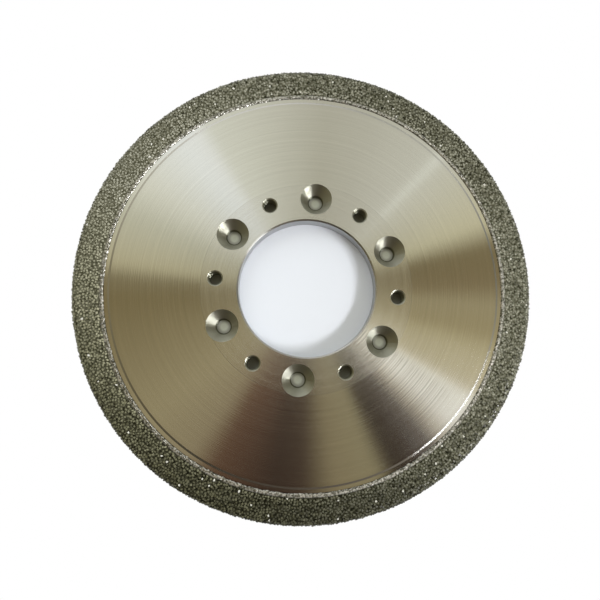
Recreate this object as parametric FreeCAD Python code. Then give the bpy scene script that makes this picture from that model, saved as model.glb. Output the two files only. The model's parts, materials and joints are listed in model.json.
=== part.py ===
"""Electroplated diamond grinding wheel with a flange bore and a ring of mounting holes.

The wheel lies flat: its axis is +Z, the rear seat is z = 0 and the front seat is z = WIDTH.
Three pieces, one STEP each: the turned steel core, the nickel bond plated round its rim, and the
diamond grit that stands out of the bond. All three rims come from one outline at three depths below
the finished size, so each skin seats exactly on what carries it.
"""
import FreeCAD
import Part
import math
import os

# ---- driving dimensions, millimetres ----
WHEEL_D = 300.0  # over the grit
WIDTH = 12.0  # over the grit, and across the two seats
BORE_D = 90.0
CORNER_R = 3.0  # finished radius of both rim corners

SEAT_D = 138.0  # ground seat for the machine's flange, both sides
WEB_RELIEF = 0.15  # the turned web lies this much below the seat
WEB_D = 252.0  # outer edge of the turned web
BEVEL_RUN = 1.4  # radial length of the bevel from the web down to the rim land

BOND_D = 260.8  # inner edge of the plating on each flank
GRIT_D = 263.6  # inner edge of the grit on each flank
BOND_T = 0.45  # nickel, from the steel out
GRIT_STANDOFF = 0.35  # grain tips above the nickel
EDGE_TAPER = 0.25  # the plating thins over this length at its inner edge

HOLE_PCD = 120.0  # one circle carries both sets of holes
HOLE_COUNT = 6  # in each set
SCREW_CLEARANCE_D = 9.0  # M8 flat-head screws
SINK_D = 21.0
SINK_ANGLE = 60.0  # included angle of the countersink
TAPPED_D = 8.5  # M10 before the thread is cut
TAPPED_MOUTH_D = 10.4

BORE_CHAMFER = 1.0
DEBURR = 0.4  # rear edge of the screw holes

# ---- worked out from them ----
WHEEL_R = WHEEL_D / 2
STEEL_DEPTH = BOND_T + GRIT_STANDOFF  # finished surface down to the steel
FIRST_SCREW_DEG = 90.0  # the first countersunk hole lies on +Y
PITCH_DEG = 360.0 / HOLE_COUNT
SINK_DEPTH = (SINK_D - SCREW_CLEARANCE_D) / 2 / math.tan(math.radians(SINK_ANGLE / 2))
CUT_OVER = 1.0  # how far each cutter runs past the face it cuts
HIDDEN_FLATS = 3  # flats in each rim corner that the next skin hides
AXIS = FreeCAD.Vector(0, 0, 1)
CENTRE = FreeCAD.Vector(0, 0, 0)


class Section:
    """A closed half section, drawn as radius and height and then turned about the wheel's axis."""

    def __init__(self, r, z):
        self.start = FreeCAD.Vector(r, 0, z)
        self.here = self.start
        self.edges = []

    def line(self, r, z):
        there = FreeCAD.Vector(r, 0, z)
        self.edges.append(Part.LineSegment(self.here, there).toShape())
        self.here = there

    def round_corner(self, centre_r, centre_z, radius, first_deg):
        """A quarter turn to the left about a centre, from an angle above the radius axis."""
        middle = on_circle(centre_r, centre_z, radius, first_deg + 45)
        there = on_circle(centre_r, centre_z, radius, first_deg + 90)
        self.edges.append(Part.Arc(self.here, middle, there).toShape())
        self.here = there

    def flat_corner(self, centre_r, centre_z, radius, first_deg):
        """The same quarter turn in short flats, for corners that the next skin hides."""
        for step in range(1, HIDDEN_FLATS + 1):
            there = on_circle(centre_r, centre_z, radius, first_deg + 90 * step / HIDDEN_FLATS)
            self.line(there.x, there.z)

    def turned(self):
        self.line(self.start.x, self.start.z)
        face = Part.Face(Part.Wire(self.edges))
        return face.revolve(CENTRE, AXIS, 360)


def on_circle(centre_r, centre_z, radius, degrees):
    turn = math.radians(degrees)
    return FreeCAD.Vector(centre_r + radius * math.cos(turn), 0, centre_z + radius * math.sin(turn))


def rim(section, depth):
    """The rim at a depth below the finished surface, from the rear flank round to the front one."""
    corner = section.flat_corner if depth else section.round_corner
    flat_r = WHEEL_R - CORNER_R
    section.line(flat_r, depth)
    corner(flat_r, CORNER_R, CORNER_R - depth, -90)
    section.line(WHEEL_R - depth, WIDTH - CORNER_R)
    corner(flat_r, WIDTH - CORNER_R, CORNER_R - depth, 0)


def rim_disc(depth):
    """A plain disc with the rim's outline at a depth, to cut one skin from the next."""
    disc = Section(0, depth)
    rim(disc, depth)
    disc.line(0, WIDTH - depth)
    return disc.turned()


def plug(edge_d, depth, thickness, taper):
    """What a skin leaves open inside its inner edge, widening outwards where the skin thins."""
    under = depth + thickness
    edge_r = edge_d / 2
    hole = Section(0, depth)
    hole.line(edge_r + taper, depth)
    hole.line(edge_r, under)
    hole.line(edge_r, WIDTH - under)
    hole.line(edge_r + taper, WIDTH - depth)
    hole.line(0, WIDTH - depth)
    return hole.turned()


def rim_skin(edge_d, depth, thickness, taper):
    """A channel that wraps the rim: its outside is at depth, its inside thickness below that."""
    hollow = [rim_disc(depth + thickness), plug(edge_d, depth, thickness, taper)]
    return rim_disc(depth).cut(hollow)


def at_angle(r, degrees, z):
    turn = math.radians(degrees)
    return FreeCAD.Vector(r * math.cos(turn), r * math.sin(turn), z)


def hole_cutter(steps):
    """A cutter on the wheel's axis from (diameter, height) steps, lowest first."""
    cutter = Section(0, steps[0][1])
    for diameter, z in steps:
        cutter.line(diameter / 2, z)
    cutter.line(0, steps[-1][1])
    return cutter.turned()


def screw_hole():
    """Clearance hole with a deep countersink in the front face and a broken rear edge."""
    cone = 2 * math.tan(math.radians(SINK_ANGLE / 2))
    return hole_cutter([
        (SCREW_CLEARANCE_D + 2 * DEBURR + 2 * CUT_OVER, -CUT_OVER),
        (SCREW_CLEARANCE_D, DEBURR),
        (SCREW_CLEARANCE_D, WIDTH - SINK_DEPTH),
        (SINK_D + cone * CUT_OVER, WIDTH + CUT_OVER),
    ])


def tapped_hole():
    """Tapping bore with a chamfered mouth on each side."""
    mouth = (TAPPED_MOUTH_D - TAPPED_D) / 2
    return hole_cutter([
        (TAPPED_MOUTH_D + 2 * CUT_OVER, -CUT_OVER),
        (TAPPED_D, mouth),
        (TAPPED_D, WIDTH - mouth),
        (TAPPED_MOUTH_D + 2 * CUT_OVER, WIDTH + CUT_OVER),
    ])


def hole_circle(cutter, first_deg):
    """The cutter repeated round the hole circle."""
    ring = []
    for index in range(HOLE_COUNT):
        copy = cutter.copy()
        copy.translate(at_angle(HOLE_PCD / 2, first_deg + index * PITCH_DEG, 0))
        ring.append(copy)
    return ring


def core_blank():
    """The turned disc: bore, seats, relieved webs, bevels, and the rim that takes the plating."""
    bore_r = BORE_D / 2
    seat_r = SEAT_D / 2
    web_r = WEB_D / 2
    blank = Section(bore_r, BORE_CHAMFER)
    blank.line(bore_r + BORE_CHAMFER, 0)
    blank.line(seat_r, 0)
    blank.line(seat_r + WEB_RELIEF, WEB_RELIEF)
    blank.line(web_r, WEB_RELIEF)
    blank.line(web_r + BEVEL_RUN, STEEL_DEPTH)
    rim(blank, STEEL_DEPTH)
    blank.line(web_r + BEVEL_RUN, WIDTH - STEEL_DEPTH)
    blank.line(web_r, WIDTH - WEB_RELIEF)
    blank.line(seat_r + WEB_RELIEF, WIDTH - WEB_RELIEF)
    blank.line(seat_r, WIDTH)
    blank.line(bore_r + BORE_CHAMFER, WIDTH)
    blank.line(bore_r, WIDTH - BORE_CHAMFER)
    return blank.turned()


def wheel_core():
    cutters = hole_circle(screw_hole(), FIRST_SCREW_DEG)
    cutters += hole_circle(tapped_hole(), FIRST_SCREW_DEG + PITCH_DEG / 2)
    return core_blank().cut(cutters)


def nickel_bond():
    return rim_skin(BOND_D, GRIT_STANDOFF, BOND_T, EDGE_TAPER)


def diamond_grit():
    return rim_skin(GRIT_D, 0, GRIT_STANDOFF, 0)


PIECES = {
    "wheel_core": wheel_core,
    "nickel_bond": nickel_bond,
    "diamond_grit": diamond_grit,
}


def main():
    os.makedirs("parts", exist_ok=True)
    for name, make in PIECES.items():
        piece = make()
        solids = piece.Solids
        if len(solids) == 1:
            piece = solids[0]
        piece.exportStep(f"parts/{name}.step")
        print(f"{name}: {len(solids)} solid, {piece.Volume / 1000:.1f} cm3, valid {piece.isValid()}")


main()
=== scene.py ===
"""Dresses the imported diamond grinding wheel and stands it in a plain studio.

The wheel lies on its rear seat with its axis on +Z, in metres. The turned core and the nickel bond
are the model's own solids with new finishes. The diamond grains, the nodular edge of the plating and
the crests of the threads are made here, because they are too many and too small for the solids.
"""
import bpy
import json
import math
import numpy as np
from mathutils import Matrix, Vector, noise


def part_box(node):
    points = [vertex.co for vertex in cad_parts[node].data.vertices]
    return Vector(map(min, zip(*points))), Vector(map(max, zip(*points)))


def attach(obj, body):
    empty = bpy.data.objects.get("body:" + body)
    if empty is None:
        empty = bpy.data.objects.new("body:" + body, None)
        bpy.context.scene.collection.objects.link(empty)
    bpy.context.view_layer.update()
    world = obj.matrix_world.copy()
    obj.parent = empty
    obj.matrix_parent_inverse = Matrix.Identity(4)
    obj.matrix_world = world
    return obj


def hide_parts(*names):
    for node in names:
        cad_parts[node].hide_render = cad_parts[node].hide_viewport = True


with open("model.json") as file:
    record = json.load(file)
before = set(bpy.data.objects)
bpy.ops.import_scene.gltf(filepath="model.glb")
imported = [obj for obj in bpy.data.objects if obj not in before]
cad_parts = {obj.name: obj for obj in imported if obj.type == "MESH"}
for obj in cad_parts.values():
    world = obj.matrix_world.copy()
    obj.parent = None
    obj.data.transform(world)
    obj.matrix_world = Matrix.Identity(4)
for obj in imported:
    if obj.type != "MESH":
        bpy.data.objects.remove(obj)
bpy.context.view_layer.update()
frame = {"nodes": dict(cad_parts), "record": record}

# ---- the wheel, from the frame ----
MM = 0.001
MOUNTS = {mount["name"]: mount for mount in frame["record"]["mounts"]}
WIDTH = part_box("diamond_grit")[1].z
WHEEL_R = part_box("diamond_grit")[1].x
BORE_R = MOUNTS["bore"]["dims"]["r_mm"] * MM
HOLE_CIRCLE_R = MOUNTS["screw_holes"]["dims"]["pcd_mm"] / 2 * MM
HOLE_COUNT = MOUNTS["screw_holes"]["dims"]["count"]
TAPPED_R = MOUNTS["tapped_holes"]["dims"]["hole_r_mm"] * MM
NICKEL_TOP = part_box("nickel_bond")[1].z

# ---- the wheel, as its drawing has it ----
LAND_TOP = WIDTH - 0.8 * MM  # the steel under the plating
CORNER_R = 3 * MM
SEAT_R = 69 * MM  # of both flange seats
SINK_R = 10.5 * MM  # mouth of a countersunk screw hole
TAPPED_MOUTH_R = 5.2 * MM
BOND_R = 130.4 * MM  # inner edge of the nickel on each flank
GRIT_R = 131.8 * MM  # inner edge of the grit on each flank
FIRST_SCREW_DEG = 90.0
FIRST_TAPPED_DEG = FIRST_SCREW_DEG + 180.0 / HOLE_COUNT
THREAD_PITCH = 1.5 * MM


# ---- nodes ----
class Wire:
    """A socket of a node tree. An expression on wires and numbers adds its Math nodes."""

    def __init__(self, tree, socket):
        self.tree = tree
        self.socket = socket

    def math(self, operation, *others):
        return add_node(self.tree, "Math", {"operation": operation}, dict(enumerate((self, *others))))

    def __add__(self, other):
        return self.math("ADD", other)

    def __sub__(self, other):
        return self.math("SUBTRACT", other)

    def __mul__(self, other):
        return self.math("MULTIPLY", other)

    def __truediv__(self, other):
        return self.math("DIVIDE", other)

    def __rsub__(self, other):
        return add_node(self.tree, "Math", {"operation": "SUBTRACT"}, {0: other, 1: self})

    __radd__ = __add__
    __rmul__ = __mul__

    def clamp(self):
        return self.math("MAXIMUM", 0.0).math("MINIMUM", 1.0)

    def rise(self, low, high):
        """0 below low, 1 above high, smooth between."""
        settings = {"interpolation_type": "SMOOTHSTEP"}
        return add_node(self.tree, "MapRange", settings, {"Value": self, "From Min": low, "From Max": high})

    def between(self, edges):
        """1 between the second and the third of four edges, 0 outside the first and the last."""
        return self.rise(edges[0], edges[1]) * (1.0 - self.rise(edges[2], edges[3]))

    def part(self, axis):
        """One component of a vector."""
        return add_node(self.tree, "SeparateXYZ", {}, {"Vector": self}, axis)

    def vector(self, operation, *others, output="Vector", scale=None):
        feeds = dict(enumerate((self, *others)))
        if scale is not None:
            feeds["Scale"] = scale
        return add_node(self.tree, "VectorMath", {"operation": operation}, feeds, output)


def add_node(tree, kind, settings, feeds, output=0):
    """Adds a shader node: its settings first, a ramp's stops among them, then its sockets."""
    node = tree.nodes.new("ShaderNode" + kind)
    for name, value in settings.items():
        if name == "stops":
            set_stops(node.color_ramp, value)
        else:
            setattr(node, name, value)
    for name, value in feeds.items():
        if isinstance(value, Wire):
            tree.links.new(value.socket, node.inputs[name])
        else:
            node.inputs[name].default_value = value
    return Wire(tree, node.outputs[output]) if node.outputs else None


def set_stops(ramp, stops):
    while len(ramp.elements) > 1:
        ramp.elements.remove(ramp.elements[-1])
    for index, (place, colour) in enumerate(stops):
        element = ramp.elements[0] if index == 0 else ramp.elements.new(place)
        element.position = place
        element.color = (*colour, 1.0)


class Finish:
    """The nodes of a material, or of the world, under construction."""

    def __init__(self, owner):
        owner.use_nodes = True
        self.owner = owner
        self.tree = owner.node_tree
        self.tree.nodes.clear()

    def node(self, kind, settings=None, feeds=None, output=0):
        return add_node(self.tree, kind, settings or {}, feeds or {}, output)

    def waver(self, where, scale, detail=2.0, kind="3D"):
        """Even noise from -0.5 to 0.5, with its scale in waves to the metre."""
        socket = "W" if kind == "1D" else "Vector"
        feeds = {socket: where, "Scale": scale, "Detail": detail, "Roughness": 0.5}
        return self.node("TexNoise", {"noise_dimensions": kind}, feeds) - 0.5

    def blend(self, share, low, high):
        """Low where share is 0 and high where it is 1, for colours."""
        return self.node("Mix", {"data_type": "RGBA"}, {0: share, 6: low, 7: high}, 2)

    def ramp(self, share, stops):
        return self.node("ValToRGB", {"stops": stops}, {"Fac": share})

    def surface(self, **sockets):
        feeds = {name.replace("_", " "): value for name, value in sockets.items()}
        return self.node("BsdfPrincipled", {}, feeds)

    def mix(self, share, below, above):
        return self.node("MixShader", {}, {0: share, 1: below, 2: above})

    def done(self, shader):
        self.node("OutputMaterial", {}, {"Surface": shader})
        return self.owner


def rgb(red, green, blue):
    return (red, green, blue, 1.0)


# ---- where a point lies on the wheel ----
def from_axis(finish):
    """A point's place on the wheel, its vector from the axis, and the length of that vector."""
    place = finish.node("TexCoord", output="Object")
    outward = place.vector("MULTIPLY", (1, 1, 0))
    return place, outward, outward.vector("LENGTH", output="Value")


def towards_bearing(outward, bearing_deg, full_deg, none_deg):
    """1 within full_deg of a compass bearing, clockwise from +Y, and 0 beyond none_deg."""
    bearing = math.radians(bearing_deg)
    direction = outward.vector("NORMALIZE")
    nearness = direction.part(0) * math.sin(bearing) + direction.part(1) * math.cos(bearing)
    return nearness.rise(math.cos(math.radians(none_deg)), math.cos(math.radians(full_deg)))


def from_nearest_hole(finish, place, first_deg):
    """Vector from the axis of the nearest hole of a set, flat in the wheel's plane, and its length."""
    x, y = place.part(0), place.part(1)
    half_pitch = math.pi / HOLE_COUNT
    angle = y.math("ARCTAN2", x)
    beside = (angle - math.radians(first_deg)).math("WRAP", half_pitch, -half_pitch)
    hole_angle = angle - beside
    feeds = {
        0: x - HOLE_CIRCLE_R * hole_angle.math("COSINE"),
        1: y - HOLE_CIRCLE_R * hole_angle.math("SINE"),
        2: 0.0,
    }
    away = finish.node("CombineXYZ", {}, feeds)
    return away, away.vector("LENGTH", output="Value")


# ---- turned steel ----
STEEL_DARK = rgb(0.49, 0.48, 0.455)
STEEL_BRIGHT = rgb(0.63, 0.62, 0.585)
# painted shade for the dim streaks across the window's highlight on the web
STEEL_STREAK_SHADE = rgb(0.30, 0.285, 0.26)
STEEL_EDGE_SHADE = rgb(0.10, 0.095, 0.08)  # painted shade along the foot of the plating's bank, where its step shades the steel
STEEL_BORED = rgb(0.45, 0.455, 0.46)
STEEL_CUT = rgb(0.38, 0.38, 0.32)
# How fine the marks are, in waves to the metre.
TOOL_MARKS = 200000.0  # too fine to see, so that they only spread the light
FINE_MARKS = 2500.0
RINGS = 900.0
BROAD_MARKS = 420.0
CLOUDS = 26.0
WEB_ROUGHNESS = 0.12
SEAT_ROUGHNESS = 0.16
BORE_ROUGHNESS = 0.3
WEB_MARK_SLOPE = 0.23
SEAT_MARK_SLOPE = 0.30
RING_SLOPE = 0.06  # of the marks that can be seen one by one
CHATTER_SLOPE = 0.018  # along the rings
HIGHLIGHT_STREAK_SIDE = (127.7, 5.1, 9.6)  # bearing of the window's highlight, and degrees off it where the painted streaks begin and end to fade
HIGHLIGHT_STREAK_ENDS = (106 * MM, 120 * MM)  # where the painted streaks fade on their way out
HIGHLIGHT_STREAK_SHARE = 0.45  # how far its rings go over to the painted streak shade
EDGE_SHADE_EDGES = (BOND_R - 0.85 * MM, BOND_R - 0.5 * MM)  # where the painted shade starts and where it is full
HOLE_ROUGHNESS = 0.28
HOLE_MARK_SLOPE = 3.0
HOLE_MARK_LEAN = 0.40
LEVEL = 0.9  # a face whose normal rises more than this is no wall of a hole
SLACK = 0.02 * MM  # a face this far outside the radius of a hole still counts as its wall
SEAT_BLUR = 0.3 * MM  # how far seat and web run into each other
# how far the painted shade deep in a hole fades
PAINTED_SHADE_BLUR = 0.6 * MM
# The sets of holes: bearing of the first, radius of the mouth, radius inside which shade is painted on the
# wall, and the colour of that painted shade.
HOLE_SETS = [
    (FIRST_SCREW_DEG, SINK_R, 5.0 * MM, rgb(0.13, 0.13, 0.10)),
    (FIRST_TAPPED_DEG, TAPPED_MOUTH_R, TAPPED_R, rgb(0.20, 0.20, 0.155)),
]


def turned_steel():
    """Bright steel: circular tool marks on the webs and the seats, and the walls of bore and holes."""
    finish = Finish(bpy.data.materials.new("turned_steel"))
    place, outward, radius = from_axis(finish)
    fine = finish.waver(radius, FINE_MARKS, 3.0, "1D")
    broad = finish.waver(radius, BROAD_MARKS, 2.0, "1D")
    rings = finish.waver(radius, RINGS, 2.0, "1D")
    marks = fine * 0.8 + broad * 0.4 + finish.waver(place, CLOUDS, 3.0) * 0.25
    colour = steel_colour(finish, outward, radius, marks, rings)
    tool = finish.waver(radius + place.part(2), TOOL_MARKS, 1.0, "1D")

    def turned_face(roughness, anisotropy, mark_slope):
        across_slope = tool * mark_slope + rings * RING_SLOPE
        return finish.surface(
            Base_Color=colour,
            Metallic=1.0,
            Roughness=roughness.clamp(),
            Anisotropic=anisotropy,
            Anisotropic_Rotation=0.25,
            Normal=tool_marks(finish, outward, across_slope, fine * CHATTER_SLOPE),
        )

    web = turned_face(WEB_ROUGHNESS + marks * 0.05, 1.0, WEB_MARK_SLOPE)
    seat = turned_face(SEAT_ROUGHNESS + marks * 0.1, 0.9, SEAT_MARK_SLOPE)
    bore = finish.surface(
        Base_Color=STEEL_BORED,
        Metallic=1.0,
        Roughness=BORE_ROUGHNESS,
        Anisotropic=0.8,
        Anisotropic_Rotation=0.25,
    )
    on_seat = 1.0 - radius.rise(SEAT_R - SEAT_BLUR, SEAT_R + SEAT_BLUR)
    steel = finish.mix(on_seat, web, seat)
    steel = finish.mix(radius.math("LESS_THAN", BORE_R + SLACK), steel, bore)
    upright = finish.node("NewGeometry", output="True Normal").part(2).math("ABSOLUTE")
    steep = upright.math("LESS_THAN", LEVEL)
    for first_deg, mouth_r, shade_r, shade_colour in HOLE_SETS:
        away, distance = from_nearest_hole(finish, place, first_deg)
        wall = hole_wall(finish, place.part(2), away, distance, shade_r, shade_colour)
        in_hole = distance.math("LESS_THAN", mouth_r + SLACK) * steep
        steel = finish.mix(in_hole, steel, wall)
    return finish.done(steel)


def steel_colour(finish, outward, radius, marks, rings):
    """Steel with the shade of its marks, dim rings painted as streaks across the window's highlight, and
    painted shade along its outer edge.
    """
    steel = finish.blend((marks + 0.5).clamp(), STEEL_DARK, STEEL_BRIGHT)
    highlight_streaks = towards_bearing(outward, *HIGHLIGHT_STREAK_SIDE) * (1.0 - radius.rise(*HIGHLIGHT_STREAK_ENDS))
    # dim rings painted as streaks across the window's highlight
    steel = finish.blend(rings.rise(-0.10, 0.12) * highlight_streaks * HIGHLIGHT_STREAK_SHARE, steel, STEEL_STREAK_SHADE)
    # painted shade along the outer edge, at the foot of the plating
    return finish.blend(radius.rise(*EDGE_SHADE_EDGES), steel, STEEL_EDGE_SHADE)


def hole_wall(finish, height, away, distance, shade_r, shade_colour):
    """The cut wall of a hole, bright at the mouth, with painted shade further down where the hole is deep.
    """
    ring = finish.waver(distance + height, TOOL_MARKS, 1.0, "1D")
    # painted shade deep in the hole
    in_shade = 1.0 - distance.rise(shade_r, shade_r + PAINTED_SHADE_BLUR)
    return finish.surface(
        Base_Color=finish.blend(in_shade, STEEL_CUT, shade_colour),
        Metallic=1.0,
        Roughness=HOLE_ROUGHNESS,
        Normal=tool_marks(finish, away, ring * HOLE_MARK_SLOPE - HOLE_MARK_LEAN, 0.0),
    )


def tool_marks(finish, away, across_slope, along_slope):
    """The normal, tipped across and along the rings that a tool left round an axis. Away points from it."""
    normal = finish.node("NewGeometry", output="Normal")
    along_ring = away.vector("CROSS_PRODUCT", (0, 0, 1)).vector("NORMALIZE")
    across_ring = along_ring.vector("CROSS_PRODUCT", normal)
    tipped = normal.vector("ADD", across_ring.vector("SCALE", scale=across_slope))
    return tipped.vector("ADD", along_ring.vector("SCALE", scale=along_slope)).vector("NORMALIZE")


# ---- nickel and diamond ----
GRIT_TONES = [
    (0.0, (0.013, 0.013, 0.008)),
    (0.25, (0.054, 0.054, 0.035)),
    (0.5, (0.126, 0.127, 0.088)),
    (0.75, (0.235, 0.236, 0.18)),
    (1.0, (0.38, 0.38, 0.31)),
]
NICKEL_HOLLOW = rgb(0.16, 0.16, 0.13)
NICKEL_BRIGHT = rgb(0.68, 0.67, 0.64)
GRAIN_GLINT = rgb(0.72, 0.72, 0.66)
GLINT_FROM = 0.985  # a grain whose own number is greater is painted bright as a glint
OLIVE_TINT = rgb(1.13, 1.12, 0.96)
# Sides of the wheel: bearing, and degrees off it where the side begins and ends to fade.
OLIVE_SIDE = (225.0, 16.3, 72.4)
THICK_SIDE = (45.0, 84.2, 113.8)
CLUMPING = (0.55, 1.70)  # strength of the clumps where the grains lie thin and where they lie thick
# The shades, from the darkest of the tones at 0 to the lightest at 1.
BED_SHADE = 0.44
GRAIN_SHADE = 0.615
OWN_SHADE = 0.18  # how much grains differ from one another
PATCH_SHADE = 0.4
NICKELLED_SHADE = 0.22  # next to the plating's edge, where nickel covers them
NICKEL_ROUGHNESS = (0.62, 0.40)  # of the bed and of the nodules at its edge
GRAIN_ROUGHNESS = (0.22, 0.70)  # of the smoothest and of the roughest grain
# How fine the shades are, in waves to the metre.
PATCHES = 60.0
CLUMPS = 430.0
LUMPS = 800.0
FLECKS = 900.0
# Light spreads within a grain and evens out its facets: the weight of the rim's slope over a facet's own.
GRAIN_SOFTNESS = 3.0


def painted_side_shade(outward):
    """Painted light and shade: how much lighter or darker the plating and its grains are painted on each
    side of the wheel, as the light falls there.
    """
    direction = outward.vector("NORMALIZE")
    east, north = direction.part(0), direction.part(1)
    by_side = north * 0.165 - east * 0.06
    by_quarter = (east * east - north * north) * 0.12 - east * north * 0.06
    return by_side + by_quarter


def clumping(finish, place, outward):
    """Lighter and darker clumps of grains, strongest on the side where they lie thickest."""
    thin_strength, thick_strength = CLUMPING
    strength = towards_bearing(outward, *THICK_SIDE) * (thick_strength - thin_strength) + thin_strength
    return finish.waver(place, CLUMPS, 1.0) * strength


def plated_nickel():
    """Nickel plating: a dark lumpy bed under the grains and brighter nodules where it ends."""
    finish = Finish(bpy.data.materials.new("plated_nickel"))
    place, outward, radius = from_axis(finish)
    at_edge = 1.0 - radius.rise(BOND_R + 1.0 * MM, BOND_R + 2.4 * MM)
    lumps = finish.waver(place, LUMPS, 2.0)
    # the bed's shade carries the painted light and shade by side
    shade = painted_side_shade(outward) + lumps * 1.2 + clumping(finish, place, outward) * 0.8 + BED_SHADE
    bed = finish.ramp(shade.clamp(), GRIT_TONES)
    flecks = finish.waver(place, FLECKS, 2.0).rise(-0.12, 0.12)
    edge = finish.blend(flecks, NICKEL_HOLLOW, NICKEL_BRIGHT)
    bed_roughness, edge_roughness = NICKEL_ROUGHNESS
    return finish.done(finish.surface(
        Base_Color=finish.blend(at_edge, bed, edge),
        Metallic=1.0,
        Roughness=bed_roughness - at_edge * (bed_roughness - edge_roughness),
        Normal=finish.node("Bump", {}, {"Strength": 0.8, "Distance": 0.3 * MM, "Height": lumps}),
    ))


def diamond_grain():
    """Coarse synthetic diamond, grey olive and glassy, each grain of its own shade, with painted light and
    shade by side and a few grains painted bright as glints.
    """
    finish = Finish(bpy.data.materials.new("diamond_grain"))
    place, outward, radius = from_axis(finish)
    own = finish.node("NewGeometry", output="Random Per Island")
    patches = finish.waver(place, PATCHES, 2.0) * PATCH_SHADE
    nickelled = (1.0 - radius.rise(GRIT_R, GRIT_R + 7 * MM)) * NICKELLED_SHADE
    shade = (own - 0.5) * OWN_SHADE + clumping(finish, place, outward) + patches + nickelled + GRAIN_SHADE
    # the grains' tone carries the painted light and shade by side
    tone = finish.ramp((shade + painted_side_shade(outward)).clamp(), GRIT_TONES)
    tint = finish.blend(towards_bearing(outward, *OLIVE_SIDE), rgb(1, 1, 1), OLIVE_TINT)
    tone = tone.vector("MULTIPLY", tint)
    second = (own * 17.0).math("FRACT")  # another even number from 0 to 1 for each grain
    smoothest, roughest = GRAIN_ROUGHNESS
    facet = finish.node("NewGeometry", output="Normal")
    out = out_of_rim(finish, place, outward, radius).vector("SCALE", scale=GRAIN_SOFTNESS)
    return finish.done(finish.surface(
        # a few grains painted bright as glints
        Base_Color=finish.blend(own.math("GREATER_THAN", GLINT_FROM), tone, GRAIN_GLINT),
        Roughness=smoothest + second * (roughest - smoothest),
        IOR=1.5,
        Normal=facet.vector("ADD", out).vector("NORMALIZE"),
    ))


def out_of_rim(finish, place, outward, radius):
    """The direction out of the rim: upright on its flanks, turning level round its side."""
    beyond = (radius - (WHEEL_R - WIDTH / 2)).math("MAXIMUM", 0.0)
    level = outward.vector("NORMALIZE").vector("SCALE", scale=beyond)
    upright = finish.node("CombineXYZ", {}, {2: place.part(2) - WIDTH / 2})
    return level.vector("ADD", upright).vector("NORMALIZE")


# ---- making a piece ----
def add_piece(name, vertices, faces, material):
    """A piece of many small parts, with its map laid out."""
    mesh = bpy.data.meshes.new(name)
    mesh.from_pydata(vertices.tolist(), [], [tuple(face) for face in faces])
    mesh.materials.append(material)
    piece = bpy.data.objects.new(name, mesh)
    bpy.context.scene.collection.objects.link(piece)
    lay_out(mesh)
    return piece


def lay_out(mesh):
    """A map in which every face has a square of its own."""
    across = math.ceil(math.sqrt(len(mesh.polygons)))
    corners = [(0.1, 0.1), (0.9, 0.1), (0.9, 0.9), (0.1, 0.9)]
    spots = mesh.uv_layers.new(name="OFBake").uv
    for number, face in enumerate(mesh.polygons):
        row, column = divmod(number, across)
        used = corners if face.loop_total == 4 else (corners[0], corners[1], corners[3])
        for loop, (x, y) in zip(face.loop_indices, used):
            spots[loop].vector = ((column + x) / across, (row + y) / across)


# ---- the grains ----
SEED = 12
GRAIN_SIZE = 2.2 * MM  # across the corners
GRAIN_SIZES = (0.82, 1.12)  # smallest and largest, as shares of that
GRAIN_GAP = 1.5 * MM  # between neighbours, but for a few that lie nearer
GRAIN_SINK = 0.43 * MM  # grain centres below the finished surface
GRAIN_SINKS = (0.85, 1.25)  # least and most, as shares of that
SIDE_LIFT = 1.1  # how much of its sink a grain on the periphery may lose
GRAIN_SHAPES = 14
GRAIN_PULL = 0.45  # how far a cube's corners are pulled about
GRAIN_SQUASH = 0.78  # least width of a grain over its full one
GRAIN_FLATNESS = 0.55  # height of a grain over its width
TRIES_PER_GRAIN = 10
EDGE_WANDER = 0.5 * MM  # how far the grit's inner edge strays


def rim_length(flank_r):
    """Length of the rim's section from flank_r on the front face round to flank_r on the rear one."""
    flank = WHEEL_R - CORNER_R - flank_r
    return 2 * flank + math.pi * CORNER_R + WIDTH - 2 * CORNER_R


def rim_points(along, flank_r):
    """Radius, height and outward direction at distances along the rim's section, as arrays."""
    flat_r = WHEEL_R - CORNER_R
    flank = flat_r - flank_r
    quarter = math.pi / 2 * CORNER_R
    side = WIDTH - 2 * CORNER_R
    turn = np.clip((along - flank) / CORNER_R, 0, math.pi / 2)
    turn += np.clip((along - flank - quarter - side) / CORNER_R, 0, math.pi / 2)
    out_r, out_z = np.sin(turn), np.cos(turn)
    on_front = np.clip(along, 0, flank)
    on_rear = np.clip(along - flank - 2 * quarter - side, 0, flank)
    on_side = np.clip(along - flank - quarter, 0, side)
    r = flank_r + on_front - on_rear + CORNER_R * out_r
    z = WIDTH - CORNER_R - on_side + CORNER_R * out_z
    return r, z, out_r, out_z


def round_axis(r, angle, z):
    """Points or directions from their radius, angle and height, as one array."""
    return np.stack([r * np.cos(angle), r * np.sin(angle), z], 1)


def scatter_grains(rng):
    """Places and outward directions for the grains, and their shares of the way round the rim's section."""
    length = rim_length(GRIT_R)
    wanted = int(length * 2 * math.pi * WHEEL_R / GRAIN_GAP**2)
    count = wanted * TRIES_PER_GRAIN
    along = rng.uniform(0, length, count)
    angle = rng.uniform(0, 2 * math.pi, count)
    r, z, out_r, out_z = rim_points(along, GRIT_R)
    from_edge = np.minimum(along, length - along)
    waves = np.sin(angle * 61) * np.sin(angle * 149 + 1) + 0.4 * np.sin(angle * 311)
    clear_of_edge = from_edge > GRAIN_SIZE / 2 + EDGE_WANDER * np.abs(waves)
    # The nearer the axis, the fewer of the tries are kept, so that they are even over the surface.
    kept = (rng.uniform(0, 1, count) < r / WHEEL_R) & clear_of_edge
    place = round_axis(r, angle, z)[kept]
    out = round_axis(out_r, angle, out_z)[kept]
    chosen = spaced_out(place, GRAIN_GAP)
    return place[chosen], out[chosen], along[kept][chosen] / length


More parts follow.
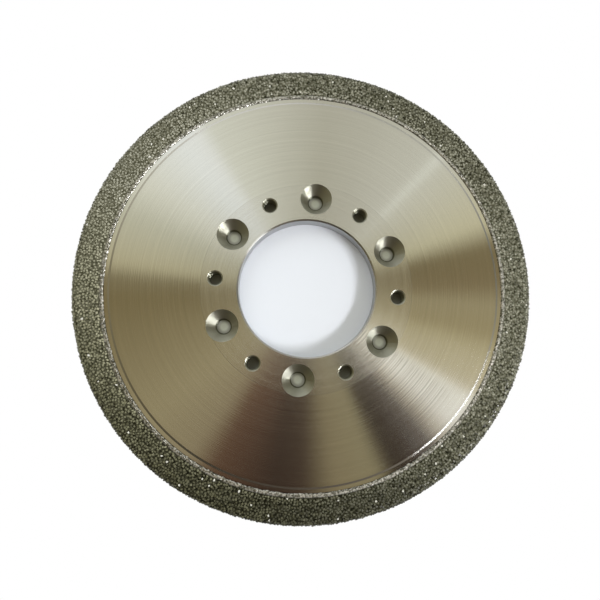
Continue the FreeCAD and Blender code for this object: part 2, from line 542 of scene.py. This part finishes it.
def spaced_out(points, gap):
    """Indices of the points that are kept, each at least gap from the last one kept in every cell near."""
    cells = {}
    chosen = []
    keys = np.floor(points / gap).astype(int).tolist()
    steps = [(i, j, k) for i in (-1, 0, 1) for j in (-1, 0, 1) for k in (-1, 0, 1)]
    for index, ((kx, ky, kz), (x, y, z)) in enumerate(zip(keys, points.tolist())):
        near = (cells.get((kx + i, ky + j, kz + k)) for i, j, k in steps)
        if any(n and (n[0] - x) ** 2 + (n[1] - y) ** 2 + (n[2] - z) ** 2 < gap * gap for n in near):
            continue
        cells[kx, ky, kz] = (x, y, z)
        chosen.append(index)
    return np.array(chosen)


def grain_shapes(rng):
    """Blocky crystals of unit size: a cube's corners pulled about on a ball, every face split."""
    corners = np.array([(x, y, z) for x in (-1, 1) for y in (-1, 1) for z in (-1, 1)], float)
    pulled = corners + rng.uniform(-GRAIN_PULL, GRAIN_PULL, (GRAIN_SHAPES, 8, 3))
    pulled /= np.linalg.norm(pulled, axis=2, keepdims=True)
    squares = [(0, 1, 3, 2), (4, 6, 7, 5), (0, 4, 5, 1), (2, 3, 7, 6), (0, 2, 6, 4), (1, 5, 7, 3)]
    faces = [half for a, b, c, d in squares for half in ((a, b, c), (a, c, d))]
    return pulled, np.array(faces)


def random_turns(rng, count):
    """Even random rotations as matrices."""
    q = rng.normal(size=(count, 4))
    w, x, y, z = (q / np.linalg.norm(q, axis=1, keepdims=True)).T
    rows = [
        [1 - 2 * (y * y + z * z), 2 * (x * y - w * z), 2 * (x * z + w * y)],
        [2 * (x * y + w * z), 1 - 2 * (x * x + z * z), 2 * (y * z - w * x)],
        [2 * (x * z - w * y), 2 * (y * z + w * x), 1 - 2 * (x * x + y * y)],
    ]
    return np.array(rows).transpose(2, 0, 1)


def blocks(rng, place, out, size, sink):
    """Corners and faces of one turned block at each place, flattened along its outward direction."""
    shapes, faces = grain_shapes(rng)
    count = len(place)
    squash = rng.uniform(GRAIN_SQUASH, 1.0, (count, 1, 3))
    body = shapes[rng.integers(GRAIN_SHAPES, size=count)] * squash * size[:, None, None] / 2
    body = np.einsum("nij,nvj->nvi", random_turns(rng, count), body)
    lift = np.einsum("nvj,nj->nv", body, out)[:, :, None] * out[:, None, :]
    centre = place - out * sink[:, None]
    return body - (1 - GRAIN_FLATNESS) * lift + centre[:, None, :], faces


def joined(body, faces):
    """Blocks run together as one list of corners and one of faces."""
    starts = np.arange(len(body))[:, None, None] * body.shape[1]
    return body.reshape(-1, 3), (faces + starts).reshape(-1, 3)


def make_grit():
    """The diamond grains, as one piece for each flank and one for the periphery."""
    rng = np.random.default_rng(SEED)
    place, out, share = scatter_grains(rng)
    count = len(place)
    size = GRAIN_SIZE * rng.uniform(*GRAIN_SIZES, count)
    sink = GRAIN_SINK * rng.uniform(*GRAIN_SINKS, count)
    sink -= GRAIN_SINK * SIDE_LIFT * (1 - np.abs(out[:, 2])) * rng.uniform(0, 1, count)
    body, faces = blocks(rng, place, out, size, sink)
    material = diamond_grain()
    flank = (WHEEL_R - CORNER_R - GRIT_R) / rim_length(GRIT_R)
    groups = {
        "grit_front": share < flank,
        "grit_periphery": (share >= flank) & (share <= 1 - flank),
        "grit_rear": share > 1 - flank,
    }
    for name, taken in groups.items():
        piece = add_piece(name, *joined(body[taken], faces), material)
        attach(piece, "root")
        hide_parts("diamond_grit")


# ---- the plating's edge ----
EDGE_STEPS = 1800
# The lines of the bank: millimetres out from the nickel's edge, and height as a share of the nickel's.
EDGE_PROFILE = [(-0.5, 0.0), (-0.3, 0.35), (-0.05, 0.75), (0.25, 1.0), (0.6, 0.9), (1.0, 0.6), (1.5, 0.3)]
# Waves to the millimetre, and how far a line strays, as a share of its distance from the last line.
EDGE_STRAYS = [(0.55, 0.3), (1.7, 0.21)]
EDGE_LUMPS = 1.5  # waves to the millimetre
EDGE_LUMP_HEIGHT = 0.55  # how much they raise or lower the bank, as a share of it
EDGE_LUMP_SHIFT = 2.2  # how fast the lumps change from line to line
NODULES = 1100  # on each flank
NODULE_SIZE = 1.35 * MM
NODULE_SIZES = (0.5, 1.3)  # smallest and largest, as shares of that
NODULE_PLACES = (-0.2, 0.4, 2.2)  # nearest, commonest and furthest, millimetres from the nickel's edge
NODULE_FOOT = LAND_TOP + 0.1 * MM  # height of the nearest


def edge_ring(front):
    """Corners and faces of the low ragged bank in which the plating ends."""
    top = NICKEL_TOP - LAND_TOP
    widest = EDGE_PROFILE[-1][0]
    rings = []
    for offset, lift in EDGE_PROFILE:
        ring = []
        for step in range(EDGE_STEPS):
            angle = 2 * math.pi * step / EDGE_STEPS
            spot = Vector((math.cos(angle), math.sin(angle), 0)) * BOND_R / MM
            ragged = sum(noise.noise(spot * waves) * reach for waves, reach in EDGE_STRAYS)
            lump = noise.noise(spot * EDGE_LUMPS + Vector((0, 0, offset * EDGE_LUMP_SHIFT)))
            r = BOND_R + (offset + ragged * (widest - offset)) * MM
            z = LAND_TOP + lift * top * (1.0 + EDGE_LUMP_HEIGHT * lump)
            ring.append((r * math.cos(angle), r * math.sin(angle), z if front else WIDTH - z))
        rings.append(ring)
    faces = []
    for row in range(len(rings)):
        low, high = row * EDGE_STEPS, (row + 1) % len(rings) * EDGE_STEPS
        for step in range(EDGE_STEPS):
            after = (step + 1) % EDGE_STEPS
            quad = (low + step, high + step, high + after, low + after)
            faces.append(quad if front else quad[::-1])
    return np.array(rings).reshape(-1, 3), faces


def nodules(rng, front):
    """Corners and faces of the nodules that grow on that bank."""
    nearest, commonest, furthest = NODULE_PLACES
    angle = rng.uniform(0, 2 * math.pi, NODULES)
    offset = rng.triangular(nearest, commonest, furthest, NODULES) * MM
    height = np.interp(offset, [nearest * MM, commonest * MM], [NODULE_FOOT, NICKEL_TOP])
    place = round_axis(BOND_R + offset, angle, height if front else WIDTH - height)
    out = np.tile([0.0, 0.0, 1.0 if front else -1.0], (NODULES, 1))
    size = NODULE_SIZE * rng.uniform(*NODULE_SIZES, NODULES)
    return joined(*blocks(rng, place, out, size, np.zeros(NODULES)))


def make_plating_edge(name, front, nickel):
    """The plating's inner edge on one flank: a ragged bank of nickel set with nodules."""
    ring, ring_faces = edge_ring(front)
    lumps, lump_faces = nodules(np.random.default_rng(SEED + front), front)
    faces = ring_faces + (lump_faces + len(ring)).tolist()
    piece = add_piece(name, np.concatenate([ring, lumps]), faces, nickel)
    for polygon in piece.data.polygons:
        polygon.use_smooth = True
    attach(piece, "root")


# ---- the threads ----
THREAD_CREST = 0.25 * MM  # how far the crests stand in from the wall
THREAD_ROOT = 0.05 * MM  # how far they reach into the wall
THREAD_HALF = 0.45  # half the width of a crest at its root, in pitches
THREAD_STEPS = 32  # in a turn
THREAD_RUN_OUT = 6  # steps over which a crest fades at each end


def make_threads(steel):
    """The crests of the thread in the tapped holes, as one helix of triangular section for each."""
    turns = WIDTH / THREAD_PITCH - 2
    steps = int(turns * THREAD_STEPS)
    root = TAPPED_R + THREAD_ROOT
    vertices = []
    faces = []
    for hole in range(HOLE_COUNT):
        bearing = math.radians(FIRST_TAPPED_DEG + hole * 360 / HOLE_COUNT)
        middle = Vector((math.cos(bearing), math.sin(bearing), 0)) * HOLE_CIRCLE_R
        first = len(vertices)
        for step in range(steps + 1):
            turn = 2 * math.pi * step / THREAD_STEPS
            level = THREAD_PITCH * (1 + step / THREAD_STEPS)
            crest = THREAD_CREST * min(1.0, step / THREAD_RUN_OUT, (steps - step) / THREAD_RUN_OUT)
            for r, above in ((root, -THREAD_HALF), (TAPPED_R - crest, 0.0), (root, THREAD_HALF)):
                x = middle.x + r * math.cos(turn)
                y = middle.y + r * math.sin(turn)
                vertices.append((x, y, level + above * THREAD_PITCH))
        for step in range(steps):
            low, high = first + step * 3, first + (step + 1) * 3
            faces += [(low + k, high + k, high + (k + 1) % 3, low + (k + 1) % 3) for k in range(3)]
        last = first + steps * 3
        faces += [(first, first + 1, first + 2), (last + 2, last + 1, last)]
    piece = add_piece("tapped_threads", np.array(vertices), faces, steel)
    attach(piece, "root")


# ---- the sheet under the wheel ----
SHEET_HALF = 6.0
SHEET_BELOW = 0.05 * MM
SHEET_IN_BORE = rgb(0.78, 0.82, 0.90)
# paper of the painted lit spot below each screw hole, tinted warm for painted light reflected off the
# hole's walls
SHEET_BELOW_SCREW_HOLES = rgb(0.80, 0.845, 0.785)
# painted shadow on the paper under the wheel, also below the tapped holes
SHEET_PAINTED_SHADOW = rgb(0.44, 0.45, 0.41)
BORE_SHEET_ENDS = (BORE_R + 2 * MM, BORE_R + 6 * MM)  # where the bluish sheet begins and ends to fade
HOLE_SHEET_ENDS = (1.6 * MM, 4.2 * MM)  # the same for the painted lit spot below each screw hole, which fades into the painted shadow under the wheel
WHITE_FROM = (WHEEL_R - 1.5 * MM, WHEEL_R + 3.5 * MM)  # where the sheet turns white


def seen_directly(finish):
    """1 for what the camera sees, straight or by a mirror or glass."""
    names = ("Is Camera Ray", "Is Glossy Ray", "Is Transmission Ray")
    camera, glossy, through = (finish.node("LightPath", output=name) for name in names)
    return camera.math("MAXIMUM", glossy).math("MAXIMUM", through)


def sheet_paper():
    """Pale paper: bluish in the bore, a painted shadow under the wheel with a painted lit spot below each
    screw hole, white outside.
    """
    finish = Finish(bpy.data.materials.new("paper"))
    place, _, radius = from_axis(finish)
    under_wheel = radius.rise(*BORE_SHEET_ENDS)
    _, from_screw = from_nearest_hole(finish, place, FIRST_SCREW_DEG)
    # painted shadow under the wheel, leaving a painted lit spot below each screw hole
    painted_shadow = from_screw.rise(*HOLE_SHEET_ENDS) * under_wheel
    shade = finish.blend(under_wheel, SHEET_IN_BORE, SHEET_BELOW_SCREW_HOLES)
    shade = finish.blend(painted_shadow, shade, SHEET_PAINTED_SHADOW)
    paper = finish.node("BsdfDiffuse", {}, {"Color": shade})
    white = finish.node("Emission", {}, {"Color": rgb(1, 1, 1), "Strength": 1.0})
    shown_white = radius.rise(*WHITE_FROM) * seen_directly(finish)
    return finish.done(finish.mix(shown_white, paper, white))


def make_floor():
    """A pale sheet under the wheel that runs into the white background."""
    half = SHEET_HALF
    corners = [(-half, -half), (half, -half), (half, half), (-half, half)]
    mesh = bpy.data.meshes.new("floor")
    mesh.from_pydata([(x, y, -SHEET_BELOW) for x, y in corners], [], [(0, 1, 2, 3)])
    mesh.materials.append(sheet_paper())
    floor = bpy.data.objects.new("floor", mesh)
    bpy.context.scene.collection.objects.link(floor)


# ---- what stands round the wheel ----
# The colour of the light of walls and cards, by compass degrees.
SURROUNDINGS = [
    (0, (0.70, 0.69, 0.56)),
    (38, (0.92, 0.92, 0.80)),
    (40, (1.30, 1.34, 1.22)),
    (42, (0.94, 0.94, 0.81)),
    (65, (0.93, 0.88, 0.60)),
    (72, (0.30, 0.24, 0.12)),
    (84, (0.32, 0.25, 0.13)),
    (90, (0.51, 0.44, 0.26)),
    (99, (0.49, 0.41, 0.22)),
    (103, (0.66, 0.58, 0.34)),
    (116, (0.68, 0.60, 0.37)),
    (119, (1.12, 1.10, 0.98)),
    (127, (1.06, 1.04, 0.94)),
    (132, (0.60, 0.53, 0.41)),
    (136, (0.08, 0.055, 0.035)),
    (149, (0.045, 0.03, 0.02)),
    (154, (0.38, 0.33, 0.19)),
    (166, (0.34, 0.28, 0.16)),
    (175, (0.075, 0.047, 0.03)),
    (184, (0.05, 0.03, 0.02)),
    (202, (0.155, 0.085, 0.05)),
    (209, (0.40, 0.33, 0.20)),
    (225, (0.47, 0.40, 0.23)),
    (261, (0.29, 0.23, 0.11)),
    (267, (0.32, 0.27, 0.15)),
    (271, (0.74, 0.68, 0.44)),
    (286, (0.84, 0.84, 0.66)),
    (296, (1.12, 1.13, 0.98)),
    (312, (1.32, 1.38, 1.36)),
    (318, (1.32, 1.36, 1.33)),
    (322, (1.06, 1.08, 0.94)),
    (360, (0.70, 0.69, 0.56)),
]
# The same nearer the ground.
LOW_SURROUNDINGS = [
    (0, (0.80, 0.80, 0.76)),
    (15, (0.62, 0.62, 0.56)),
    (45, (0.75, 0.75, 0.68)),
    (75, (0.22, 0.21, 0.17)),
    (95, (0.40, 0.38, 0.30)),
    (112, (0.60, 0.58, 0.48)),
    (117, (1.36, 1.38, 1.36)),
    (134, (1.36, 1.38, 1.36)),
    (141, (0.26, 0.23, 0.19)),
    (180, (0.11, 0.09, 0.07)),
    (205, (0.08, 0.07, 0.05)),
    (240, (0.20, 0.17, 0.10)),
    (270, (0.34, 0.30, 0.19)),
    (300, (0.72, 0.70, 0.60)),
    (322, (1.10, 1.10, 1.06)),
    (345, (0.98, 0.98, 0.94)),
    (360, (0.80, 0.80, 0.76)),
]
HIGH_FROM = (0.72, 0.88)  # a direction's height where the low ones give way to the high ones
# How much stronger or weaker that light is straight overhead, by compass degrees.
OVERHEAD = [
    (0, 1.04), (16, 0.92), (32, 0.88), (44, 0.92), (54, 0.72), (74, 0.70), (84, 0.86), (106, 0.88),
    (114, 1.05), (121, 1.15), (128, 1.90), (134, 1.25), (140, 1.05), (146, 1.60), (152, 1.35), (160, 1.00),
    (168, 0.90), (178, 1.60), (188, 2.20), (198, 1.80), (208, 1.08), (250, 1.05), (260, 0.92), (270, 0.84),
    (284, 0.72), (304, 0.72), (314, 0.80), (326, 1.05), (340, 0.96), (360, 1.04),
]
OVERHEAD_TO = (0.16, 0.23)  # how far from the point overhead that holds
CARDS_MEET = (0.031, 0.141)  # overhead point that the compass is read round, as a direction's x and y
WINDOW_COLOUR = rgb(35.0, 35.0, 35.5)
WINDOW_SIDES = (102.6, 108.0, 138.6, 144.0)  # compass degrees
WINDOW_HEIGHTS = (0.59, 0.61, 0.68, 0.70)


def by_compass(finish, turn, colours):
    """The colour at a share of a full turn, from colours by compass degrees."""
    return finish.ramp(turn, [(degrees / 360, colour) for degrees, colour in colours])


def make_surroundings():
    """Walls and cards ordered by compass and a window, and plain white where the camera looks."""
    world = bpy.data.worlds.new("studio")
    bpy.context.scene.world = world
    finish = Finish(world)
    towards = finish.node("TexCoord", output="Generated")
    east = towards.part(0) - CARDS_MEET[0]
    north = towards.part(1) - CARDS_MEET[1]
    height = towards.part(2)
    turn = (east.math("ARCTAN2", north) / (2 * math.pi)).math("WRAP", 1.0, 0.0)
    high = by_compass(finish, turn, SURROUNDINGS)
    low = by_compass(finish, turn, LOW_SURROUNDINGS)
    light = finish.blend(height.rise(*HIGH_FROM), low, high)
    overhead = by_compass(finish, turn, [(degrees, (share,) * 3) for degrees, share in OVERHEAD])
    off_middle = (east * east + north * north).math("SQRT")
    strength = finish.blend(off_middle.rise(*OVERHEAD_TO), overhead, rgb(1, 1, 1))
    light = light.vector("MULTIPLY", strength)
    in_window = (turn * 360.0).between(WINDOW_SIDES) * height.between(WINDOW_HEIGHTS)
    light = finish.blend(in_window, light, WINDOW_COLOUR)
    shown = finish.blend(finish.node("LightPath", output="Is Camera Ray"), light, rgb(1, 1, 1))
    background = finish.node("Background", {}, {"Color": shown, "Strength": 1.0})
    finish.node("OutputWorld", {}, {"Surface": background})


# ---- lamp and camera ----
LAMP_COMPASS_DEG = 305.0  # clockwise from +Y, seen from above
LAMP_HEIGHT_DEG = 44.0
LAMP_DISTANCE = 0.9
LAMP_SIZE = 0.7
LAMP_WATTS = 2.5
LAMP_COLOUR = (0.94, 0.97, 1.0)
CAMERA_AT = Vector((-10.79, -48.80, 343.07)) * MM
AIMED_AT = Vector((8.16, -9.82, 12.0)) * MM
CAMERA_ROLL_DEG = 5.52
LENS = 30.80
SHIFT = (-0.0307, 0.0067)


def make_lamp():
    """A soft lamp opposite the window. Bare metal shows the cards and not the lamp."""
    light = bpy.data.lights.new("lamp", "AREA")
    light.shape = "SQUARE"
    light.size = LAMP_SIZE
    light.energy = LAMP_WATTS
    light.color = LAMP_COLOUR
    lamp = bpy.data.objects.new("lamp", light)
    compass = math.radians(LAMP_COMPASS_DEG)
    height = math.radians(LAMP_HEIGHT_DEG)
    flat = math.cos(height)
    towards = Vector((math.sin(compass) * flat, math.cos(compass) * flat, math.sin(height)))
    lamp.location = towards * LAMP_DISTANCE
    lamp.rotation_euler = towards.to_track_quat("Z", "Y").to_euler()
    lamp.visible_glossy = False
    bpy.context.scene.collection.objects.link(lamp)


def make_camera():
    """A hand-held view from above, a little off the axis and slightly rolled."""
    ahead = (AIMED_AT - CAMERA_AT).normalized()
    right = ahead.cross(Vector((0, 1, 0))).normalized()
    up = right.cross(ahead)
    upright = Matrix((right, up, -ahead)).transposed()
    camera = bpy.data.cameras.new("camera")
    camera.lens = LENS
    camera.shift_x, camera.shift_y = SHIFT
    camera.clip_start = 0.01
    holder = bpy.data.objects.new("camera", camera)
    roll = Matrix.Rotation(math.radians(CAMERA_ROLL_DEG), 3, "Z")
    holder.matrix_world = Matrix.Translation(CAMERA_AT) @ (upright @ roll).to_4x4()
    bpy.context.scene.collection.objects.link(holder)
    bpy.context.scene.camera = holder


def dress(node, material):
    """Gives one of the model's own solids its finish."""
    frame["nodes"][node].data.materials[0] = material


# ---- the wheel dressed, then the studio ----
steel = turned_steel()
nickel = plated_nickel()
dress("wheel_core", steel)
dress("nickel_bond", nickel)
make_grit()
make_plating_edge("plating_edge_front", True, nickel)
make_plating_edge("plating_edge_rear", False, nickel)
make_threads(steel)
make_floor()
make_surroundings()
make_lamp()
make_camera()
bpy.context.scene.view_settings.view_transform = "Standard"
